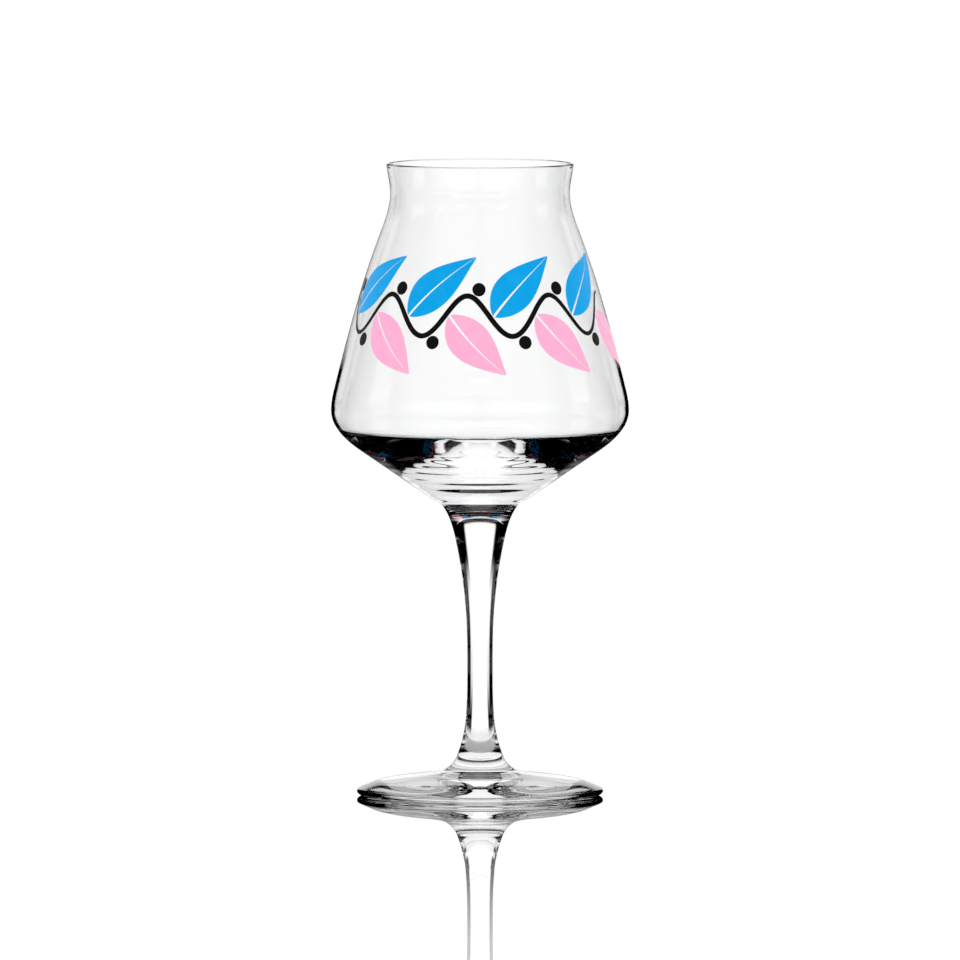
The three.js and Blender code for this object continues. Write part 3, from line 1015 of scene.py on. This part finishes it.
def polished_table():
    material, graph = new_finish("polished_table")
    kinds = light_kinds(graph)
    spot = table_spot(graph)
    white = graph.add("ShaderNodeBsdfDiffuse", None, {"Color": WHITE})
    mirror = graph.add("ShaderNodeBsdfAnisotropic", None, {"Color": WHITE, "Roughness": MIRROR_ROUGHNESS})
    fade = graph.smooth_step(spot["from_axis"], *MIRROR_FADE_WAY) * MIRROR_FADE
    plain_share = graph.smooth_step(spot["edge_on"], *MIRROR_START) * (1 - fade)
    glass_share = graph.smooth_step(spot["edge_on"], *GLASS_MIRROR_START)
    share = plain_share + kinds["through"] * (glass_share - plain_share)
    polished = graph.add("ShaderNodeMixShader", None, {0: share, 1: white, 2: mirror})
    # The black that the masks paint into the table: painted shade for light from the glass.
    painted_card = graph.add("ShaderNodeBsdfDiffuse", None, {"Color": BLACK})
    shade = table_shade(graph, kinds, spot)
    surface = graph.add("ShaderNodeMixShader", None, {0: shade, 1: polished, 2: painted_card})
    graph.add("ShaderNodeOutputMaterial", None, {"Surface": surface})
    return material


half = TABLE_SIZE / 2
table_corners = [(x * half, y * half, -TABLE_GAP) for x, y in ((-1, -1), (1, -1), (1, 1), (-1, 1))]
table_mesh = bpy.data.meshes.new("table")
table_mesh.from_pydata(table_corners, [], [(0, 1, 2, 3)])
table_mesh.materials.append(polished_table())
table = bpy.data.objects.new("table", table_mesh)
scene.collection.objects.link(table)
print("table in metres:", TABLE_SIZE)

# %% [markdown]
# ## The studio
# The room is an even, soft white on all sides for the camera and for matt surfaces. Light from the glass
# finds white panels in a dark room instead, with a set of panels for each kind: wide ones behind the glass,
# small ones at the sides and a soft one in front, which keeps the glass bright when it is seen from behind.
# Their edges draw the black lines along the stem and the streaks in the base. Real lamps and panels would
# do the same, but would also light the enamel unevenly.

# %% Panels of the studio
# Each panel: middle and half width in degrees from straight behind, bottom and top, and softness of its edge
BENT_PANELS = ((0, 36, -90, 6, 4), (0, 26, -90, 24, 2.5), (90, 14, -90, 14, 2.5), (145, 41, -90, 60, 2.5))
TURNED_PANELS = ((0, 38, -1, 20, 1.5), (45, 12, 12, 36, 2.5), (90, 10, 9, 20, 2.5))
ONCE_PANELS = TURNED_PANELS + ((148, 30, 6, 50, 15),)
FEW_PANELS = TURNED_PANELS + ((0, 40, -1, 66, 2.5),)
OFTEN_PANELS = ((0, 43, -1, 36, 2),)
MIRRORED_PANELS = ((0, 8.5, -90, 26, 1),)


def lit_panels(graph, way, places):
    """1 where a direction meets one of the panels, and 0 in the dark room."""
    turn = bearing(graph, way)
    rise = graph.maths("ARCSINE", graph.parts(way).out("Z")) * math.degrees(1)
    lit = 0.0
    for middle, half_width, bottom, top, soft in places:
        wide = 1 - graph.smooth_step(abs(turn - middle), half_width - soft, half_width + soft)
        high = graph.band(rise, (bottom - soft, bottom + soft), (top - soft, top + soft))
        lit = graph.maths("MAXIMUM", lit, wide * high)
    return lit


print("panels behind the glass and at its sides:", len(TURNED_PANELS))

# %% [markdown]
# The room is built as a world whose brightness starts at 1 and is replaced, kind by kind, by the panels.
# Light that matt faces get through the glass stays sharp, so that the glass dims neither the back of the
# enamel nor the table. Thick glass needs many bounces, or its inside would turn black.

# %% Studio light
CLEAR_LEVEL = 1.1
PANEL_LEVEL = 1.1
OFTEN_LEVEL = 0.5
AGAIN_LEVEL = 0.3  # for light that is mirrored a second time
GLASS_BOUNCES = 32
MIRROR_BOUNCES = 16


def studio():
    world = bpy.data.worlds.new("studio")
    world.use_nodes = True
    graph = Graph(world.node_tree)
    way = graph.add("ShaderNodeTexCoord")
    kinds = light_kinds(graph)
    level = 1 + kinds["clear"] * (CLEAR_LEVEL - 1)
    for kind, places, brightness in (
        ("bent", BENT_PANELS, PANEL_LEVEL),
        ("once", ONCE_PANELS, PANEL_LEVEL),
        ("few", FEW_PANELS, PANEL_LEVEL),
        ("often", OFTEN_PANELS, OFTEN_LEVEL),
        ("mirrored", MIRRORED_PANELS, 1 - kinds["again"] * (1 - AGAIN_LEVEL)),
    ):
        level = level - kinds[kind] * (1 - lit_panels(graph, way, places) * brightness)
    light = graph.add("ShaderNodeBackground", None, {"Color": level})
    graph.add("ShaderNodeOutputWorld", None, {"Surface": light})
    return world


scene.world = studio()
scene.view_settings.view_transform = "Standard"
scene.cycles.max_bounces = GLASS_BOUNCES
scene.cycles.transmission_bounces = GLASS_BOUNCES
scene.cycles.glossy_bounces = MIRROR_BOUNCES
scene.cycles.blur_glossy = 0.0
print("light bounces:", scene.cycles.max_bounces)
